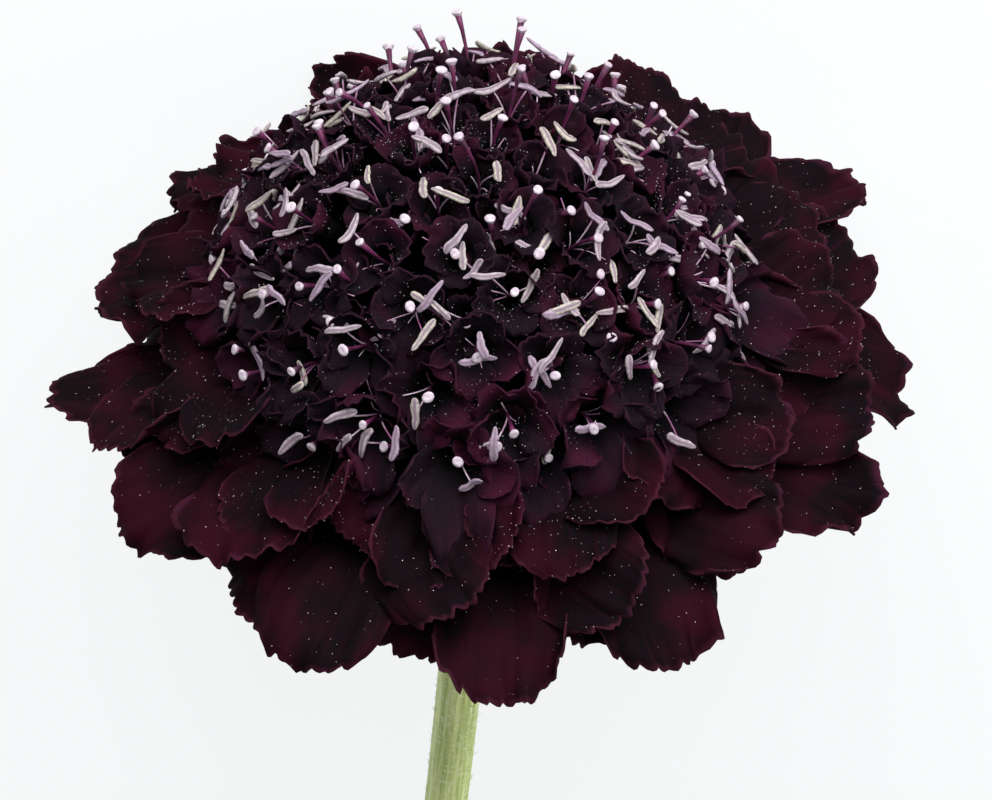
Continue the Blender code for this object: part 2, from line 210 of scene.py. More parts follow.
# the rays: two whorls of large florets with three long lobes outwards and two short ones inwards
outerRays = {
    "count": 12,
    "turn": math.radians(8),
    "mouthRadius": 14.8 * mm,
    "mouthHeight": 2.6 * mm,
    "rootHeight": 3.4 * mm,
    "facing": math.radians(52),
    "lobe": 13.2 * mm,
    "sideLobe": 11.6 * mm,
    "half": 4.5 * mm,
    "flare": math.radians(48),
    "endFlare": math.radians(0),
    "restHeights": (0.15 * mm, 1.05 * mm),
    "columns": 44,
    "rows": 18,
    "lobeSeed": 83886,
}
innerRays = {
    "count": 12,
    "turn": math.radians(23),
    "mouthRadius": 14.6 * mm,
    "mouthHeight": 6.2 * mm,
    "rootHeight": 7.0 * mm,
    "facing": math.radians(48),
    "lobe": 8.8 * mm,
    "sideLobe": 7.9 * mm,
    "half": 3.4 * mm,
    "flare": math.radians(58),
    "endFlare": math.radians(10),
    "restHeights": (2.6 * mm, 1.8 * mm),
    "columns": 32,
    "rows": 14,
    "lobeSeed": 84886,
}
raySeed = 40741
rayShift = 0.88 * mm  # the rays on one side stand this much further out
rayShiftSide = math.radians(54.7)
rayOval = 0.09  # the rays over and under the head are shorter by this share
rayThroat = 1.15 * mm
rayRoot = 0.55  # where a tube starts, as a share of its mouth's distance from the axis
rayRootRadius = 0.5 * mm
raySideAngle = math.radians(51)
rayRoll = math.radians(18)
# shares of the whorl's measures, and degrees more than its flares
longLobe = {
    "angle": 1, "length": 1, "half": 1, "flare": 0, "endFlare": 0, "scallops": 5.6, "coarser": 1
}
shortLobe = {
    "angle": 1.22, "length": 0.42, "half": 0.62, "flare": 14, "endFlare": 25, "scallops": 3.2, "coarser": 2
}


def rayFlorets(whorl):
    for index in range(whorl["count"]):
        draw = random.Random(raySeed + index + int(whorl["lobe"] / mm) * 100)
        azimuth = whorl["turn"] + math.tau * index / whorl["count"] + math.radians(draw.uniform(-3, 3))
        radius = whorl["mouthRadius"] + draw.uniform(-0.4, 0.4) * mm
        radius += rayShift * math.cos(azimuth - rayShiftSide)
        height = whorl["mouthHeight"] + draw.uniform(-0.5, 0.5) * mm
        underneath = max(0.0, math.sin(azimuth)) ** 2
        facing = whorl["facing"] + math.radians(draw.uniform(-4, 4) + 16 * underneath)
        mouth = Vector((radius * math.cos(azimuth), radius * math.sin(azimuth), height))
        roll = rayRoll + math.radians(draw.uniform(-3, 3))
        scale = draw.uniform(0.93, 1.06) * (1 - rayOval * math.sin(azimuth) ** 2)
        yield makeFloret(mouth, azimuth, facing, roll), scale, whorl["restHeights"][index % 2]


def buildRays(name, whorl, finish):
    seed = whorl["lobeSeed"]
    whole = newPart()
    for index, (floret, scale, restHeight) in enumerate(rayFlorets(whorl)):
        bm = newPart()
        draw = random.Random(seed + index)
        root = Vector((rayRoot * floret["mouth"].x, rayRoot * floret["mouth"].y, whorl["rootHeight"]))
        addThroat(bm, floret, root, (rayRootRadius, rayThroat), restHeight, draw.random())
        for place in (-2, -1, 0, 1, 2):
            kind = shortLobe if abs(place) == 2 else longLobe
            length = whorl["lobe"] if place == 0 else whorl["sideLobe"]
            lobe = {
                "angle": raySideAngle * place * kind["angle"] + math.radians(draw.uniform(-5, 5)),
                "length": kind["length"] * scale * length * draw.uniform(0.96, 1.03),
                "half": whorl["half"] * kind["half"] * draw.uniform(0.88, 1.08),
                "neck": 0.2,
                "start": rayThroat,
                "flare": whorl["flare"] + math.radians(draw.uniform(-6, 8) + kind["flare"]),
                "endFlare": whorl["endFlare"] + math.radians(draw.uniform(-12, 14) + kind["endFlare"]),
                "tilt": math.radians(draw.uniform(-24, -2)),
                "cup": draw.uniform(-0.15, 0.32),
                "channel": draw.uniform(0.1, 0.7),
                "teeth": draw.uniform(1.5, 2.2),
                "scallops": kind["scallops"],
                "toothDepth": 0.07,
                "ruffle": draw.uniform(0.2, 0.58),
                "curl": draw.uniform(-0.08, 0.10),
                "columns": whorl["columns"] // kind["coarser"],
                "rows": whorl["rows"] // kind["coarser"],
            }
            addLobe(bm, floret, lobe, restHeight, seed * 31 + index * 7 + place)
        pour(bm, whole)
    piece = newPiece(name, whole, finish, "bloom")
    thicken(piece, petalThickness)
    return piece


# the disc: small florets on a spiral over the dome
disc = {
    "florets": 76,
    "edge": math.radians(80),
    "spiral": 0.62,
    "domeRadius": 15.4 * mm,
    "domeHeight": 14.6 * mm,
    "domeBase": 5.5 * mm,
    "lobe": 2.8 * mm,
    "half": 1.45 * mm,
    "throat": 0.85 * mm,
    "unevenness": 0.4 * mm,
    "fillers": 58,  # smaller florets in the gaps
    "fillerGap": 1.95 * mm,
    "fillerDepth": 0.9 * mm,  # how much lower they stand
    "fillerSize": 0.7,
    "firstFiller": 200,  # their numbers follow on from this one
    "goldenAngle": math.pi * (3 - math.sqrt(5)),
    "root": 0.7,  # where a tube starts, as a share of the way to its mouth
    "rootRadius": 0.4 * mm,
    "innermost": 0.72,  # the size of the middle's florets
    "growth": 0.38,  # how much larger they get towards the edge
}


def discFlorets():
    for index in range(disc["florets"]):
        share = (index + 0.5) / disc["florets"]
        fromAxis = disc["edge"] * share ** disc["spiral"]
        azimuth = index * disc["goldenAngle"]
        draw = random.Random(100 + index)
        lift = draw.uniform(-disc["unevenness"], disc["unevenness"])
        radius = (disc["domeRadius"] + lift) * math.sin(fromAxis)
        height = disc["domeBase"] + (disc["domeHeight"] + lift) * math.cos(fromAxis)
        mouth = Vector((radius * math.cos(azimuth), radius * math.sin(azimuth), height))
        facing = math.pi / 2 - fromAxis + draw.uniform(-0.1, 0.1)
        yield index, makeFloret(mouth, azimuth, facing), share


def fillerFlorets():  # smaller florets that stand lower, in the gaps between the others
    mouths = [floret["mouth"] for _, floret, _ in discFlorets()]
    draw = random.Random(9)
    found = 0
    while found < disc["fillers"]:
        share = draw.random()
        fromAxis = disc["edge"] * share ** disc["spiral"]
        azimuth = draw.uniform(0, math.tau)
        radius = (disc["domeRadius"] - disc["fillerDepth"]) * math.sin(fromAxis)
        height = disc["domeBase"] + (disc["domeHeight"] - disc["fillerDepth"]) * math.cos(fromAxis)
        mouth = Vector((radius * math.cos(azimuth), radius * math.sin(azimuth), height))
        if min((mouth - other).length for other in mouths) > disc["fillerGap"]:
            mouths.append(mouth)
            found += 1
            facing = math.pi / 2 - fromAxis + draw.uniform(-0.3, 0.3)
            turned = azimuth + draw.uniform(-0.3, 0.3)
            yield disc["firstFiller"] + found, makeFloret(mouth, turned, facing), share


def buildDisc(name, florets, finish):
    whole = newPart()
    for index, floret, share in florets:
        bm = newPart()
        draw = random.Random(3000 + index)
        mouth = floret["mouth"]
        start, base = disc["root"], disc["domeBase"]
        root = Vector((start * mouth.x, start * mouth.y, base + start * (mouth.z - base)))
        addThroat(bm, floret, root, (disc["rootRadius"], disc["throat"]), 0.0, draw.random())
        size = disc["innermost"] + disc["growth"] * share
        size *= disc["fillerSize"] if index > disc["firstFiller"] else 1
        turn = draw.uniform(-0.3, 0.3)
        for place in range(5):
            angle = math.tau * place / 5 + turn * (1 - share)
            outer = max(0.0, math.cos(angle))
            longer = 1 + 0.75 * share**3 * outer + 1.0 * share**8 * outer
            opened = min(1.0, 0.35 + 1.3 * share)
            lobe = {
                "angle": angle + draw.uniform(-0.12, 0.12),
                "length": disc["lobe"] * size * longer * draw.uniform(0.9, 1.1),
                "half": disc["half"] * size * (0.6 + 0.4 * longer) * draw.uniform(0.9, 1.12),
                "neck": 0.42,
                "start": disc["throat"] * 0.96,
                "flare": math.radians(78 - 20 * opened + draw.uniform(-12, 12)),
                "endFlare": math.radians(54 - 44 * opened * (0.5 + 0.5 * outer) + draw.uniform(-26, 26)),
                "tilt": math.radians(draw.uniform(-12, 22)),
                "cup": draw.uniform(0.15, 0.6),
                "channel": draw.uniform(0.0, 0.5),
                "teeth": draw.uniform(1.2, 1.8),
                "scallops": 1.8,
                "toothDepth": 0.09,
                "ruffle": draw.uniform(0.3, 0.9),
                "curl": draw.uniform(-0.2, 0.25),
                "columns": 10,
                "rows": 8,
            }
            addLobe(bm, floret, lobe, 0.0, 9000 + index * 11 + place)
        pour(bm, whole)
    piece = newPiece(name, whole, finish, "bloom")
    thicken(piece, petalThickness)
    return piece


core = {
    "radius": 11.4 * mm,
    "top": 16.8 * mm,
    "base": 5.5 * mm,
    "bottom": 1.35 * mm,
    "bumps": 0.05,
    "narrowing": 0.45,
}


def buildCore(finish):  # the dark packed tubes under the disc
    bm = newPart()
    made = bmesh.ops.create_uvsphere(bm, u_segments=64, v_segments=32, radius=1)["verts"]
    paint = bm.verts.layers.float_color["petal"]
    base, bottom = core["base"], core["bottom"]
    for vert in made:
        bumps = 1 + core["bumps"] * noise.noise(vert.co * 9)
        rise = core["top"] - base if vert.co.z > 0 else 2 * (base - bottom)
        height = max(bottom, base + vert.co.z * rise * bumps)
        narrow = 1 if vert.co.z > 0 else 1 - core["narrowing"] * min(1, -vert.co.z * 1.6)
        flat = vert.co.xy * core["radius"] * bumps * narrow
        vert.co = toTable @ Vector((flat.x, flat.y, height))
        vert[paint] = (0.0, 0.5, 0.3, 0.0)
    newPiece("floretTubes", bm, finish, "bloom")


# styles with their round stigmas, and stamens with grooved anthers

def addTube(bm, points, radii, sides):
    made = bmesh.ops.create_grid(bm, x_segments=sides, y_segments=len(points) - 1, size=1)["verts"]
    last = len(points) - 1
    first = None  # the direction that every ring starts from
    for vert in made:
        step = round((vert.co.y + 1) / 2 * last)
        angle = (vert.co.x + 1) * math.pi
        ahead = points[min(step + 1, last)] - points[max(step - 1, 0)]
        ahead.normalize()
        if first is None:
            first = across = ahead.orthogonal().normalized()
        else:
            across = (first - ahead * first.dot(ahead)).normalized()
        ring = across * math.cos(angle) + ahead.cross(across) * math.sin(angle)
        vert.co = points[step] + ring * radii[step]


def closeTubes(bm):  # merges the seams, closes the ends and turns the faces outwards
    bmesh.ops.remove_doubles(bm, verts=bm.verts, dist=0.004 * mm)
    bmesh.ops.holes_fill(bm, edges=[edge for edge in bm.edges if edge.is_boundary], sides=0)
    bmesh.ops.recalc_face_normals(bm, faces=bm.faces)


pistil = {
    "thickness": 0.10 * mm,
    "widening": 1.4,  # how much thicker it gets under the head
    "headRadius": 0.34 * mm,
    "foot": 2.0 * mm,  # starts this far down the floret
    "reach": (1.7, 3.2),  # in mm, over the floret's mouth
    "reachInSolids": 2.1 * mm,
    "missing": 0.08,
    "steps": 6,
    "dish": 0.2,
    "dishHalf": 0.36,
    "cleft": 0.09,
    "headSizes": (0.85, 1.12),
    "lean": 0.4,  # at most
    "leanInSolids": 0.15,
    "longerInMiddle": 0.4,
    "longerUpwards": 0.6,  # towards the top of the picture
    "longerInSolids": 0.15,
}
stalkTurn = 2.1  # from the direction that one stalk leans in to the next one's


def buildStyles(styleFinish, stigmaFinish):
    allStyles, allStigmas = newPart(), newPart()
    for index, floret, share in [*discFlorets(), *fillerFlorets()]:
        draw = random.Random(4000 + index)
        inSolids = index % 3 == 0 and index < disc["firstFiller"]
        if not inSolids and draw.random() > 1 - pistil["missing"]:
            continue
        styles, stigmas = newPart(), newPart()
        if inSolids:
            reach = pistil["reachInSolids"] * draw.uniform(0.95, 1.3)
            lean, longer = pistil["leanInSolids"], pistil["longerInSolids"]
        else:
            reach = draw.uniform(*pistil["reach"]) * mm
            lean, longer = draw.uniform(0, pistil["lean"]), pistil["longerUpwards"]
        upwards = max(0.0, floret["axis"].y + floret["axis"].z) / math.sqrt(2)
        reach *= 1 + pistil["longerInMiddle"] * (1 - share) ** 2 + longer * upwards**3
        points, radii = [], []
        for step in range(pistil["steps"] + 1):
            along = step / pistil["steps"]
            height = -pistil["foot"] + (reach + pistil["foot"]) * along
            bent = lean * max(0.0, height) * (height / reach if height > 0 else 0)
            points.append(toTable @ floretPoint(floret, index * stalkTurn, bent, height))
            radii.append(pistil["thickness"] * (1 + pistil["widening"] * along**7))
        addTube(styles, points, radii, 8)
        ahead = (points[-1] - points[-2]).normalized()
        turn = ahead.to_track_quat("Z", "Y").to_matrix().to_4x4()
        place = Matrix.Translation(points[-1]) @ turn
        size = pistil["headRadius"] * draw.uniform(*pistil["headSizes"])
        made = bmesh.ops.create_uvsphere(stigmas, u_segments=14, v_segments=9, radius=1)["verts"]
        for vert in made:
            around = math.hypot(vert.co.x, vert.co.y)
            dish = pistil["dish"] * math.exp(-((around / pistil["dishHalf"]) ** 2)) if vert.co.z > 0 else 0
            lobes = 1 + pistil["cleft"] * math.cos(2 * math.atan2(vert.co.y, vert.co.x) + index)
            low = max(0.0, -vert.co.z)
            flare = lobes * (1 - 0.35 * low)
            height = vert.co.z * (0.5 + 0.8 * low) - dish
            vert.co = Vector((vert.co.x * flare, vert.co.y * flare, height)) * size
        bmesh.ops.transform(stigmas, matrix=place, verts=made)
        closeTubes(styles)
        pour(styles, allStyles)
        pour(stigmas, allStigmas)
    newPiece("styles", allStyles, styleFinish, "bloom")
    newPiece("stigmas", allStigmas, stigmaFinish, "bloom")


stamen = {
    "thickness": 0.055 * mm,
    "foot": 1.6 * mm,
    "reach": (1.5, 2.9),  # in mm
    "steps": 7,
    "antherLength": 2.35 * mm,
    "antherHalf": 0.27 * mm,
    "antherLengths": (0.72, 1.12),
    "antherHalves": (0.7, 1.02),
    "antherRise": (-0.45, 0.45),  # out of the plane of its floret
    "bow": (-0.1, 0.14),
    "lean": (0.2, 0.9),
    "leanInSolids": 0.7,
    "flatness": 0.7,
    "groove": 0.36,
    "backGroove": 0.2,
    "roughness": 0.22,
    "perFloret": (1, 1, 2, 2, 3, 3),  # drawn from for each floret
    "crowdedFrom": (6.5 * mm, -5 * mm),  # one more past this distance to either side, over this height
    "fewFrom": 0.85,
}
bareFilament = {
    "perFloret": (1, 2, 2),
    "foot": 0.8 * mm,
    "reach": (1.6, 3.4),  # in mm
    "swing": 0.6,
    "steps": 8,
}


def addAnther(bm, middle, direction, up, length, half, bow, tone):
    paint = bm.verts.layers.float_color["petal"]
    made = bmesh.ops.create_uvsphere(bm, u_segments=14, v_segments=12, radius=1)["verts"]
    direction = direction.normalized()
    across = direction.cross(up).normalized()
    top = across.cross(direction)
    for vert in made:
        along = vert.co.z
        around = math.atan2(vert.co.y, vert.co.x)
        blunt = 0
        if abs(along) < 0.999:
            blunt = (1 - abs(along) ** 4) ** 0.5 / max(1e-3, math.sqrt(1 - along * along))
        blunt *= 1 - 0.22 * along + 0.2 * wave((along * 2.4, tone * 9), 1.5, 3)
        blunt *= 1 + stamen["roughness"] * wave((along * 6, around * 1.4 + tone * 30), 1.3, 11)
        groove = 1 - stamen["groove"] * math.exp(-((around - math.pi / 2) / 0.45) ** 2)
        groove -= stamen["backGroove"] * math.exp(-((around + math.pi / 2) / 0.5) ** 2)
        x, y = vert.co.x * blunt * half * groove, vert.co.y * blunt * half * stamen["flatness"] * groove
        x += 0.1 * length * wave((along * 0.9, tone * 7), 1.3, 5)
        curve = bow * length * (along * along - 0.4)
        vert.co = middle + direction * along * length / 2 + across * x + top * (y + curve)
        vert[paint] = (along * 0.5 + 0.5, 0.5, tone, groove)


def addBareFilaments(bm):  # they have lost their anthers
    draw = random.Random(6900)
    swingMost = bareFilament["swing"]
    for _, floret, _ in discFlorets():
        for _ in range(draw.choice(bareFilament["perFloret"])):
            filament = newPart()
            towards, reach = draw.uniform(0, math.tau), draw.uniform(*bareFilament["reach"]) * mm
            lean, swing = draw.uniform(0.2, 1.1), draw.uniform(-swingMost, swingMost) * mm
            points = []
            for step in range(bareFilament["steps"] + 1):
                along = step / bareFilament["steps"]
                rise = reach * along
                height = -bareFilament["foot"] + rise * (1 - 0.35 * along)
                point = floretPoint(floret, towards, lean * rise * (0.3 + 0.7 * along), height)
                points.append(toTable @ (point + floret["side"] * swing * along**2))
            addTube(filament, points, [stamen["thickness"] * draw.uniform(0.5, 0.9)] * len(points), 5)
            closeTubes(filament)
            pour(filament, bm)


def buildStamens(filamentFinish, antherFinish):
    allFilaments, allAnthers = newPart(), newPart()
    for index, floret, share in [*discFlorets(), *fillerFlorets()]:
        draw = random.Random(6000 + index)
        inSolids = index % 3 != 0 and index % 4 == 0 and index < disc["firstFiller"]
        count = draw.choice(stamen["perFloret"])
        if abs(floret["mouth"].x) > stamen["crowdedFrom"][0] and floret["mouth"].y > stamen["crowdedFrom"][1]:
            count += 1
        elif share > stamen["fewFrom"] or index > disc["firstFiller"]:
            count = min(count, 1)
        for number in range(count):
            filaments, anthers = newPart(), newPart()
            towards = index * stalkTurn if inSolids and number == 0 else draw.uniform(0, math.tau)
            reach = draw.uniform(*stamen["reach"]) * mm
            lean = stamen["leanInSolids"] if inSolids and number == 0 else draw.uniform(*stamen["lean"])
            points = []
            for step in range(stamen["steps"] + 1):
                height = -stamen["foot"] + (reach + stamen["foot"]) * step / stamen["steps"]
                bent = lean * max(0.0, height) * (0.5 + 0.5 * max(0.0, height) / reach)
                points.append(toTable @ floretPoint(floret, towards, bent, height))
            addTube(filaments, points, [stamen["thickness"]] * len(points), 6)
            tangent = draw.uniform(0, math.tau)
            flat = floret["out"] * math.cos(tangent) + floret["side"] * math.sin(tangent)
            direction = toTable.to_3x3() @ (flat + floret["axis"] * draw.uniform(*stamen["antherRise"]))
            up = toTable.to_3x3() @ floret["axis"]
            length = stamen["antherLength"] * draw.uniform(*stamen["antherLengths"])
            half = stamen["antherHalf"] * draw.uniform(*stamen["antherHalves"])
            middle = points[-1] + up * half * 0.5
            bow = draw.uniform(*stamen["bow"])
            addAnther(anthers, middle, direction, up, length, half, bow, draw.random())
            closeTubes(filaments)
            pour(filaments, allFilaments)
            pour(anthers, allAnthers)
    addBareFilaments(allFilaments)
    newPiece("filaments", allFilaments, filamentFinish, "bloom")
    newPiece("anthers", allAnthers, antherFinish, "bloom")


# pollen: pale grains that have fallen on the petals, in patches
pollen = {
    "grains": 20000,
    "smallest": 0.020,  # in mm
    "spread": 0.034,
    "scatter": 0.1 * mm,
    "patches": (150, 420),  # how fine the coarse and the fine patches are
    "shares": {"outerRays": 0.14, "innerRays": 0.2, "discFlorets": 0.46, "smallFlorets": 0.2},
}
batchSize = 50  # small parts made together before they are poured


def buildPollen(carriers, finish):
    whole, batch = newPart(), newPart()
    draw = random.Random(77)
    coarse, fine = pollen["patches"]
    for carrier in carriers:
        verts = carrier.data.vertices
        found = 0
        while found < int(pollen["grains"] * pollen["shares"][carrier.name]):
            vert = verts[draw.randrange(len(verts))]
            patch = 0.5 + noise.noise(vert.co * coarse) + 0.5 * noise.noise(vert.co * fine)
            if draw.random() > patch:
                continue
            found += 1
            size = (pollen["smallest"] + pollen["spread"] * draw.random() ** 3) * mm
            side = 1 if vert.normal.dot(headAxis) > 0 else -1
            made = bmesh.ops.create_cone(
                batch, cap_ends=True, segments=3, radius1=size, radius2=0, depth=1.4 * size
            )["verts"]
            away = Vector([draw.uniform(-1, 1) for _ in range(3)]) * pollen["scatter"]
            away -= vert.normal * away.dot(vert.normal)
            place = vert.co + away + vert.normal * side * (petalThickness / 2 + size * 0.7)
            bmesh.ops.translate(batch, verts=made, vec=place)
            if found % batchSize == 0:
                pour(batch, whole)
                batch = newPart()
    pour(batch, whole)
    bmesh.ops.remove_doubles(whole, verts=whole.verts, dist=0.001 * mm)
    bmesh.ops.recalc_face_normals(whole, faces=whole.faces)
    newPiece("pollen", whole, finish, "bloom")


# materials

def newFinish(name, roughness, sheen=0.0):
    finish = bpy.data.materials.new(name)
    finish.use_nodes = True
    shader = finish.node_tree.nodes["Principled BSDF"]
    shader.inputs["Roughness"].default_value = roughness
    shader.inputs["Specular IOR Level"].default_value = 0.25
    shader.inputs["Sheen Weight"].default_value = sheen
    shader.inputs["Sheen Roughness"].default_value = 0.5
    return finish, finish.node_tree, shader


def addNode(tree, kind, **values):
    node = tree.nodes.new(kind)
    for key, value in values.items():
        if key in node.inputs:
            node.inputs[key].default_value = value
        else:
            setattr(node, key, value)
    return node


def mixColours(tree, factor, first, second):
    mix = tree.nodes.new("ShaderNodeMix")
    mix.data_type = "RGBA"
    for socket, value in ((mix.inputs[6], first), (mix.inputs[7], second)):
        if isinstance(value, tuple):
            socket.default_value = (*value, 1)
        else:
            tree.links.new(value, socket)
    tree.links.new(factor, mix.inputs[0])
    return mix.outputs[2]


def ramp(tree, value, low, high):  # 0 below low and 1 above high
    span = addNode(tree, "ShaderNodeMapRange", interpolation_type="SMOOTHSTEP")
    span.inputs["From Min"].default_value = low
    span.inputs["From Max"].default_value = high
    tree.links.new(value, span.inputs["Value"])
    return span.outputs["Result"]


def times(tree, first, second):
    product = addNode(tree, "ShaderNodeMath", operation="MULTIPLY")
    for socket, value in zip(product.inputs, (first, second)):
        if isinstance(value, float):
            socket.default_value = value
        else:
            tree.links.new(value, socket)
    return product.outputs[0]


def plus(tree, first, second):
    total = addNode(tree, "ShaderNodeMath", operation="ADD")
    tree.links.new(first, total.inputs[0])
    tree.links.new(second, total.inputs[1])
    return total.outputs[0]


def paintedParts(tree):  # the painted attribute: its three channels and its fourth
    paint = addNode(tree, "ShaderNodeAttribute", attribute_name="petal")
    split = addNode(tree, "ShaderNodeSeparateColor")
    tree.links.new(paint.outputs["Color"], split.inputs[0])
    return split.outputs, paint.outputs["Alpha"]


def noiseAt(tree, place, scale, detail, roughness):
    texture = addNode(tree, "ShaderNodeTexNoise", Scale=scale, Detail=detail, Roughness=roughness)
    tree.links.new(place, texture.inputs["Vector"])
    return texture.outputs[0]


def objectNoise(tree, scale, detail, roughness):
    here = addNode(tree, "ShaderNodeTexCoord")
    return noiseAt(tree, here.outputs["Object"], scale, detail, roughness)


def scaledPlace(tree, values, factors):
    place = tree.nodes.new("ShaderNodeCombineXYZ")
    for value, factor, socket in zip(values, factors, place.inputs):
        tree.links.new(times(tree, value, factor), socket)
    return place.outputs[0]


def addRelief(tree, shader, height, strength, depth):
    bump = addNode(tree, "ShaderNodeBump", Strength=strength, Distance=depth * mm)
    tree.links.new(height, bump.inputs["Height"])
    tree.links.new(bump.outputs[0], shader.inputs["Normal"])


def velvetGroup():  # what all petals share: veins along the lobe, a fine nap and broad patches of painted light
    group = bpy.data.node_groups.new("petalVelvet", "ShaderNodeTree")
    for way, names in (("INPUT", ("Along", "Across", "Tone")), ("OUTPUT", ("Veins", "Nap", "LightPatch"))):
        for name in names:
            group.interface.new_socket(name, in_out=way, socket_type="NodeSocketFloat")
    inside = group.nodes.new("NodeGroupInput")
    outside = group.nodes.new("NodeGroupOutput")
    lobe = [inside.outputs[name] for name in ("Across", "Along", "Tone")]
    veins = noiseAt(group, scaledPlace(group, lobe, (26.0, 1.6, 40.0)), 1.0, 3.0, 0.6)
    group.links.new(veins, outside.inputs["Veins"])
    group.links.new(objectNoise(group, 9000.0, 2.0, 0.7), outside.inputs["Nap"])
    group.links.new(objectNoise(group, 190.0, 2.0, 0.5), outside.inputs["LightPatch"])
    return group


petalVelvet = velvetGroup()


def petalFinish(name, colours):
    finish, tree, shader = newFinish(name, 0.8)
    shader.inputs["Specular IOR Level"].default_value = 0.03
    lobe, rim = paintedParts(tree)
    velvet = tree.nodes.new("ShaderNodeGroup")
    velvet.node_tree = petalVelvet
    for socketName, output in zip(("Along", "Across", "Tone"), lobe):
        tree.links.new(output, velvet.inputs[socketName])
    along = lobe[0]
    shade = mixColours(tree, ramp(tree, along, 0.05, colours["reach"]), colours["throat"], colours["dark"])
    outwards = ramp(tree, along, 0.15, 0.95)
    # painted light: broad patches towards the lobe tips turn red, where the lobes are lit and light shines
    # through them
    lit = times(tree, ramp(tree, velvet.outputs["LightPatch"], 0.4, 0.68), outwards)
    shade = mixColours(tree, lit, shade, colours["litRed"])
    veined = times(tree, ramp(tree, velvet.outputs["Veins"], 0.5, 0.72), outwards)
    shade = mixColours(tree, times(tree, veined, colours["veining"]), shade, colours["vein"])
    # painted highlight: a paler line along every margin, where the velvet catches the light
    shade = mixColours(tree, times(tree, ramp(tree, rim, 0.95, 1.0), 0.6), shade, colours["edge"])
    tree.links.new(shade, shader.inputs["Base Color"])
    height = plus(tree, velvet.outputs["Veins"], times(tree, velvet.outputs["Nap"], 0.35))
    addRelief(tree, shader, height, 0.5, 0.06)
    return finish


rayColours = {
    "throat": (0.0012, 0.0009, 0.0012),
    "dark": (0.0028, 0.0013, 0.0021),
    # the red below is painted light: the colour of lobes where light falls on them and shines through
    "litRed": (0.0142, 0.0012, 0.0044),
    "vein": (0.0200, 0.0021, 0.0072),
    # the edge colour below is a painted highlight along the margins
    "edge": (0.0400, 0.0080, 0.0180),
    "reach": 0.5,
    "veining": 0.3,
}
discColours = {
    "throat": (0.0020, 0.0016, 0.0022),
    "dark": (0.0056, 0.0032, 0.0052),
    # the red below is painted light: the colour of lobes where light falls on them and shines through
    "litRed": (0.0240, 0.0032, 0.0096),
    "vein": (0.0240, 0.0075, 0.0200),
    # the edge colour below is a painted highlight along the margins
    "edge": (0.0200, 0.0060, 0.0130),
    "reach": 0.6,
    "veining": 0.5,
}


def plainFinish(name, colour, second, scale, roughness, sheen=0.0, depth=0.03):
    finish, tree, shader = newFinish(name, roughness, sheen)
    mottle = objectNoise(tree, scale, 3.0, 0.6)
    shade = mixColours(tree, ramp(tree, mottle, 0.35, 0.65), colour, second)
    tree.links.new(shade, shader.inputs["Base Color"])
    addRelief(tree, shader, mottle, 0.4, depth)
    return finish


antherColours = {
    "lilac": (0.26, 0.19, 0.26),
    "grey": (0.30, 0.25, 0.275),
    "cream": (0.32, 0.295, 0.245),
    "grain": (0.12, 0.09, 0.105),
    "groove": (0.14, 0.10, 0.13),
}


def antherTones():  # pale ribs beside a darker groove, from lilac to a dry cream grey
    finish, tree, shader = newFinish("antherColour", 0.65)
    (_, _, tone), groove = paintedParts(tree)
    grain = objectNoise(tree, 3500.0, 3.0, 0.65)
    grained = times(tree, ramp(tree, grain, 0.4, 0.65), 0.6)
    shade = mixColours(tree, ramp(tree, tone, 0.2, 0.45), antherColours["lilac"], antherColours["grey"])
    shade = mixColours(tree, ramp(tree, tone, 0.6, 0.85), shade, antherColours["cream"])
    shade = mixColours(tree, grained, shade, antherColours["grain"])
    shade = mixColours(tree, ramp(tree, groove, 0.97, 0.72), shade, antherColours["groove"])
    tree.links.new(shade, shader.inputs["Base Color"])
    addRelief(tree, shader, grain, 0.6, 0.04)
    return finish


print("petals")
rayFinish = petalFinish("rayPetal", rayColours)
discFinish = petalFinish("discPetal", discColours)
carriers = (
    buildRays("outerRays", outerRays, rayFinish),
    buildRays("innerRays", innerRays, rayFinish),
    buildDisc("discFlorets", discFlorets(), discFinish),
    buildDisc("smallFlorets", fillerFlorets(), discFinish),
)
buildCore(discFinish)

print("styles and stamens")
styleFinish = plainFinish("styleColour", (0.09, 0.012, 0.05), (0.03, 0.006, 0.02), 900, 0.5)
stigmaFinish = plainFinish("stigmaColour", (0.42, 0.37, 0.40), (0.30, 0.23, 0.29), 4000, 0.6)
filamentFinish = plainFinish("filamentColour", (0.40, 0.30, 0.38), (0.16, 0.05, 0.12), 400, 0.5)
pollenFinish = plainFinish("pollenColour", (0.56, 0.53, 0.53), (0.34, 0.30, 0.33), 5000, 0.6)
buildStyles(styleFinish, stigmaFinish)
buildStamens(filamentFinish, antherTones())

print("pollen")
buildPollen(carriers, pollenFinish)


# the stem: a ribbed tube with streaks, fine hairs and a clean cut
stem = {
    "diameter": 3.1 * mm,
    "reach": 122 * mm,
    "top": -2.5 * mm,
    "slopeTop": 0.02,
    "slopeEnd": 0.11,
    "bend": 30 * mm,
    "knob": 0.22,  # how much thicker it is at the head
    "knobLength": 3.5 * mm,
    "ribs": 9,
    "ribDepth": 0.018,
    "roughness": 0.012,
    "columns": 60,
    "rows": 220,
    "cut": ((0.22, 0.05), (0.5, -0.03), (0.15, -0.25)),  # rings of the cut end, in mm: width and depth
    "cutRadius": 1.35 * mm,
    "hairs": 1500,
    "hairLength": (0.25, 0.7),  # in mm
    "hairsAbove": 0.35 * mm,  # none grow below this height over the table
}


def stemCentre(share):
    start = toTable @ Vector((0, 0, stem["top"]))
    drop = start.z - 0.945 * stem["diameter"] / 2
    along = stem["reach"] * share
    turning = (stem["slopeEnd"] - stem["slopeTop"]) * stem["bend"] * (1 - math.exp(-along / stem["bend"]))
    height = start.z - drop * (0.96 * share + 0.3 * share**2 - 0.26 * share**3)
    return Vector((start.x + stem["slopeEnd"] * along - turning, start.y + along, height))


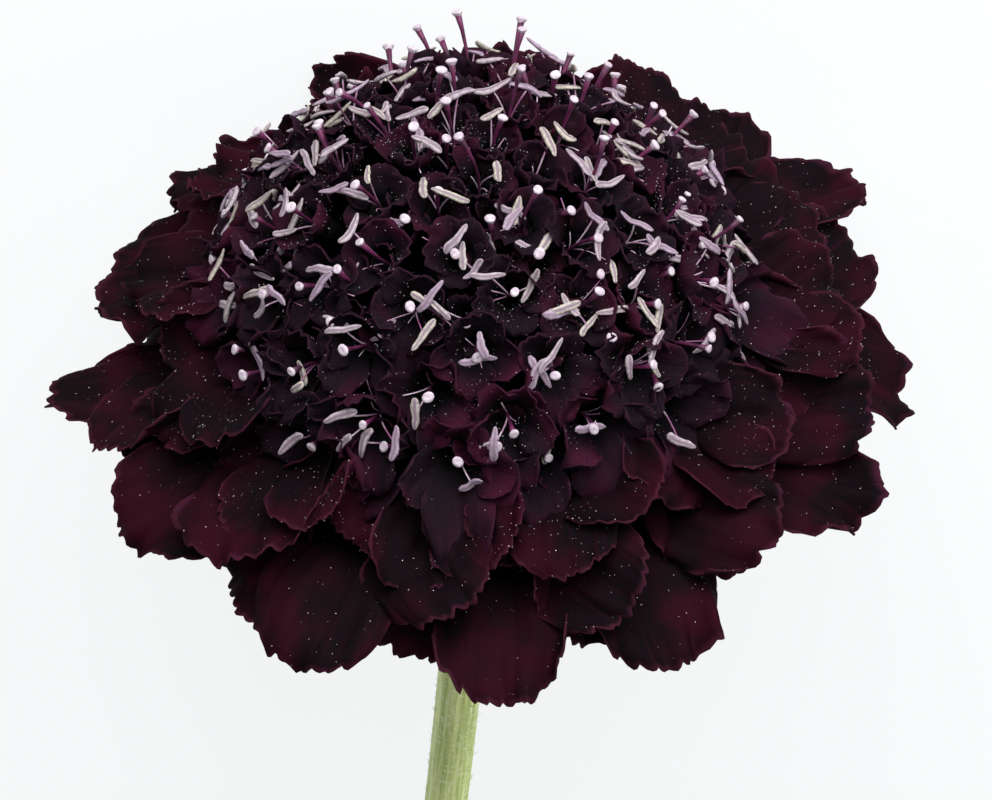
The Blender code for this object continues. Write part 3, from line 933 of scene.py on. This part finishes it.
def stemSurface(share, angle, lift=0.0):
    centre = stemCentre(share)
    ahead = (stemCentre(min(1.0, share + 0.004)) - stemCentre(max(0.0, share - 0.004))).normalized()
    across = Vector((1, 0, 0))
    across = (across - ahead * across.dot(ahead)).normalized()
    over = across.cross(ahead)
    radius = stem["diameter"] / 2 * (1 + stem["knob"] * math.exp(-share * stem["reach"] / stem["knobLength"]))
    rough = noise.noise(Vector((math.cos(angle) * 2, math.sin(angle) * 2, share * 26)))
    rib = stem["ribDepth"] * math.cos(stem["ribs"] * angle + 2.2 * share) + stem["roughness"] * rough
    normal = across * math.cos(angle) + over * math.sin(angle)
    return centre + normal * (radius * (0.985 + rib) + lift), normal, ahead


hair = {
    "foot": 0.022 * mm,
    "tip": 0.004 * mm,
}


def buildHairs(name, hairs, finish, node):  # hairs gives each one's middle, direction and length
    whole, batch = newPart(), newPart()
    for number, (middle, aim, length) in enumerate(hairs):
        spike = bmesh.ops.create_cone(
            batch, cap_ends=True, segments=3, radius1=hair["foot"], radius2=hair["tip"], depth=length
        )["verts"]
        place = Matrix.Translation(middle) @ aim.to_track_quat("Z", "Y").to_matrix().to_4x4()
        bmesh.ops.transform(batch, matrix=place, verts=spike)
        if number % batchSize == batchSize - 1:
            pour(batch, whole)
            batch = newPart()
    pour(batch, whole)
    newPiece(name, whole, finish, node, smooth=False)


def stemHairs():
    draw = random.Random(41)
    for _ in range(stem["hairs"]):
        share, angle = draw.random() ** 1.1, draw.uniform(0, math.tau)
        foot, normal, ahead = stemSurface(share * 0.995, angle, -0.02 * mm)
        if foot.z < stem["hairsAbove"]:
            continue
        length = draw.uniform(*stem["hairLength"]) * mm
        aim = (normal * draw.uniform(0.15, 0.6) - ahead * draw.uniform(0.5, 1.0)).normalized()
        yield foot + aim * length / 2, aim, length


def buildStem(finish, hairFinish):
    bm = newPart()
    paint = bm.verts.layers.float_color["petal"]
    made = bmesh.ops.create_grid(bm, x_segments=stem["columns"], y_segments=stem["rows"], size=1)["verts"]
    for vert in made:
        share, angle = (vert.co.y + 1) / 2, (vert.co.x + 1) * math.pi
        vert.co, _, _ = stemSurface(share, angle)
        vert[paint] = (share, (math.cos(angle) + 1) / 2, (math.sin(angle) + 1) / 2, 0.0)
    bmesh.ops.remove_doubles(bm, verts=bm.verts, dist=0.004 * mm)
    ends = [edge for edge in bm.edges if edge.is_boundary]
    caps = bmesh.ops.holes_fill(bm, edges=ends, sides=0)["faces"]
    cut = max(caps, key=lambda face: face.calc_center_median().y)
    for width, depth in stem["cut"]:
        bmesh.ops.inset_region(bm, faces=[cut], thickness=width * mm, depth=depth * mm, use_even_offset=True)
    bmesh.ops.triangulate(bm, faces=[face for face in bm.faces if len(face.verts) > 4])
    bmesh.ops.recalc_face_normals(bm, faces=bm.faces)
    end = stemCentre(1.0)
    for vert in bm.verts:
        if (vert.co - end).length < stem["cutRadius"]:
            vert[paint] = (1.0, 0.5, 0.5, 1.0)
    newPiece("stemSkin", bm, finish, "stem")
    buildHairs("stemHairs", stemHairs(), hairFinish, "stem")


stemColours = {
    "green": (0.40, 0.51, 0.14),
    "streak": (0.76, 0.83, 0.36),
    "fleck": (0.80, 0.86, 0.56),
    "pith": (0.55, 0.62, 0.36),
}


def stemFinish():
    finish, tree, shader = newFinish("stemSkin", 0.5, 0.05)
    skin, cut = paintedParts(tree)
    streaks = noiseAt(tree, scaledPlace(tree, skin, (14.0, 9.0, 9.0)), 1.0, 4.0, 0.65)
    flecks = objectNoise(tree, 2600.0, 2.0, 0.6)
    pale = times(tree, ramp(tree, flecks, 0.52, 0.68), 0.6)
    shade = mixColours(tree, ramp(tree, streaks, 0.35, 0.65), stemColours["green"], stemColours["streak"])
    shade = mixColours(tree, pale, shade, stemColours["fleck"])
    shade = mixColours(tree, ramp(tree, cut, 0.4, 0.9), shade, stemColours["pith"])
    tree.links.new(shade, shader.inputs["Base Color"])
    addRelief(tree, shader, plus(tree, streaks, flecks), 0.5, 0.05)
    return finish


print("stem")
hairFinish = plainFinish("hairColour", (0.66, 0.74, 0.52), (0.5, 0.6, 0.36), 900, 0.5)
buildStem(stemFinish(), hairFinish)

# the involucre: lance-shaped green bracts round a turned receptacle
involucre = {
    "bracts": 11,
    "length": 10.5 * mm,
    "width": 2.8 * mm,
    "radius": 4.4 * mm,
    "top": 1.0 * mm,
    "collar": 1.9 * mm,
    "thickness": 0.4 * mm,
    "keel": 0.35 * mm,
    "unevenness": 0.06 * mm,
    "gap": 0.3 * mm,  # from the bracts up to the rays
    "droop": 1.4 * mm,
    # the receptacle's outline: shares of its radius outwards and of its top upwards
    "outline": ((0, 1), (0.8, 1), (0.95, 0.75), (1, 0.3), (0.92, -0.5), (0.75, -1.1), (0.55, -1.7)),
    "foot": -2.2,
    "steps": 48,
    "hairs": 500,
    "hairLength": (0.3, 0.8),  # in mm
    "hairDepth": 0.18 * mm,
}


def bractPoint(index, x, along):
    draw = random.Random(900 + index)
    azimuth = math.tau * (index + draw.uniform(-0.15, 0.15)) / involucre["bracts"]
    outward = Vector((math.cos(azimuth), math.sin(azimuth), 0))
    side = Vector((-math.sin(azimuth), math.cos(azimuth), 0))
    length = involucre["length"] * draw.uniform(0.85, 1.1)
    half = involucre["width"] / 2 * math.sqrt(math.sin(math.pi * (0.2 + 0.8 * min(1.0, along))) + 0.0004)
    keel = involucre["keel"] * (1 - abs(x)) + involucre["unevenness"] * wave((x * 2, along * 5), 1, index)
    rise = -involucre["gap"] - keel - involucre["droop"] * along * along
    reach = involucre["radius"] * 0.6 + length * along
    return toTable @ (outward * reach + side * half * x + Vector((0, 0, rise)))


def bractHairs():
    draw = random.Random(43)
    for _ in range(involucre["hairs"]):
        index, x, along = draw.randrange(involucre["bracts"]), draw.uniform(-1, 1), draw.uniform(0.15, 0.97)
        foot = bractPoint(index, x, along)
        aim = (foot - toTable.translation).normalized() * 0.8
        aim = (-headAxis * draw.uniform(0.3, 0.9) + aim).normalized()
        length = draw.uniform(*involucre["hairLength"]) * mm
        yield foot - headAxis * involucre["hairDepth"] + aim * length / 2, aim, length


def buildReceptacle(finish):
    cup = newPart()
    paint = cup.verts.layers.float_color["petal"]
    radius, top = involucre["radius"], involucre["top"]
    profile = [(across * radius, height * top) for across, height in involucre["outline"]]
    profile += [(involucre["collar"], involucre["foot"] * top), (0, involucre["foot"] * top)]
    verts = [cup.verts.new((across, 0, height)) for across, height in profile]
    edges = [cup.edges.new(pair) for pair in zip(verts, verts[1:])]
    bmesh.ops.spin(
        cup, geom=verts + edges, cent=(0, 0, 0), axis=(0, 0, 1), angle=math.tau,
        steps=involucre["steps"], use_merge=True
    )
    bmesh.ops.remove_doubles(cup, verts=cup.verts, dist=0.001 * mm)
    bmesh.ops.recalc_face_normals(cup, faces=cup.faces)
    for vert in cup.verts:
        vert[paint] = (0.1, 0.5, 0.5, 0.0)
    cup.transform(toTable)
    newPiece("receptacle", cup, finish, "involucre")


def buildInvolucre(finish, hairFinish):
    bm = newPart()
    paint = bm.verts.layers.float_color["petal"]
    for index in range(involucre["bracts"]):
        made = bmesh.ops.create_grid(bm, x_segments=10, y_segments=24, size=1)["verts"]
        for vert in made:
            x, along = vert.co.x, (vert.co.y + 1) / 2
            vert.co = bractPoint(index, x, along)
            vert[paint] = (along, x * 0.5 + 0.5, index / involucre["bracts"], abs(x))
    thicken(newPiece("bracts", bm, finish, "involucre"), involucre["thickness"])
    buildReceptacle(finish)
    buildHairs("bractHairs", bractHairs(), hairFinish, "involucre")


print("involucre")
bractFinish = plainFinish("bractColour", (0.13, 0.22, 0.055), (0.22, 0.31, 0.10), 300, 0.55, 0.1, 0.05)
buildInvolucre(bractFinish, hairFinish)

# the pale table, the light and the camera
studio = {
    "floor": (0.12, 0.1216, 0.1228),
    "floorHalf": 3,  # metres
    "floorDrop": 0.02 * mm,
    "glow": 6.83,
    "sky": (0.97, 0.985, 1),
    "skyStrength": 0.34,
    "headMiddle": 6 * mm,  # the lights aim at this height in the head
    # size, power, and how far back, up and to the right in the picture, in metres and watts
    "lights": {"key": (0.35, 4.2, 0.35, 0.22, 0.03), "fill": (0.4, 1.3, 0.3, 0, 0.4)},
}


def buildStudio():
    bm = bmesh.new()
    bmesh.ops.create_grid(bm, x_segments=1, y_segments=1, size=studio["floorHalf"])
    mesh = bpy.data.meshes.new("table")
    bm.to_mesh(mesh)
    bm.free()
    table = bpy.data.objects.new("table", mesh)
    table.location.z = -studio["floorDrop"]
    bpy.context.scene.collection.objects.link(table)
    finish = bpy.data.materials.new("paleTable")
    finish.use_nodes = True
    shader = finish.node_tree.nodes["Principled BSDF"]
    shader.inputs["Base Color"].default_value = (*studio["floor"], 1)
    shader.inputs["Roughness"].default_value = 1
    shader.inputs["Specular IOR Level"].default_value = 0
    shader.inputs["Emission Color"].default_value = (*studio["floor"], 1)
    shader.inputs["Emission Strength"].default_value = studio["glow"]
    mesh.materials.append(finish)
    world = bpy.data.worlds.new("studio")
    world.use_nodes = True
    world.node_tree.nodes["Background"].inputs[0].default_value = (*studio["sky"], 1)
    world.node_tree.nodes["Background"].inputs[1].default_value = studio["skyStrength"]
    bpy.context.scene.world = world
    bpy.context.scene.view_settings.view_transform = "Standard"


def addLight(name, size, power, place, aim):
    data = bpy.data.lights.new(name, "AREA")
    data.size = size
    data.energy = power
    light = bpy.data.objects.new(name, data)
    light.location = place
    light.rotation_euler = (aim - place).to_track_quat("-Z", "Y").to_euler()
    bpy.context.scene.collection.objects.link(light)


photoView = {
    "elevation": math.radians(45),  # over the plane of the petals
    "distance": 308 * mm,
    "lens": 174,
    "focusHeight": 7 * mm,  # the point on the head's axis that the aim is counted from
    "aimRight": 1.25 * mm,
    "aimDown": 6.1 * mm,
}


def buildCamera():
    data = bpy.data.cameras.new("photoCamera")
    data.lens = photoView["lens"]
    data.clip_start = 0.01
    camera = bpy.data.objects.new("photoCamera", data)
    bpy.context.scene.collection.objects.link(camera)
    rise = photoView["elevation"]
    back = headAxis * math.sin(rise) + headFront * math.cos(rise)
    up = headAxis * math.cos(rise) - headFront * math.sin(rise)
    right = up.cross(back)
    aim = toTable @ Vector((0, 0, photoView["focusHeight"]))
    aim = aim + right * photoView["aimRight"] - up * photoView["aimDown"]
    turn = Matrix((right, up, back)).transposed()
    camera.matrix_world = Matrix.Translation(aim + back * photoView["distance"]) @ turn.to_4x4()
    bpy.context.scene.camera = camera
    return right, up, back


print("studio")
buildStudio()
right, up, back = buildCamera()
head = toTable @ Vector((0, 0, studio["headMiddle"]))
for name, (size, power, *away) in studio["lights"].items():
    addLight(name, size, power, head + back * away[0] + up * away[1] + right * away[2], head)
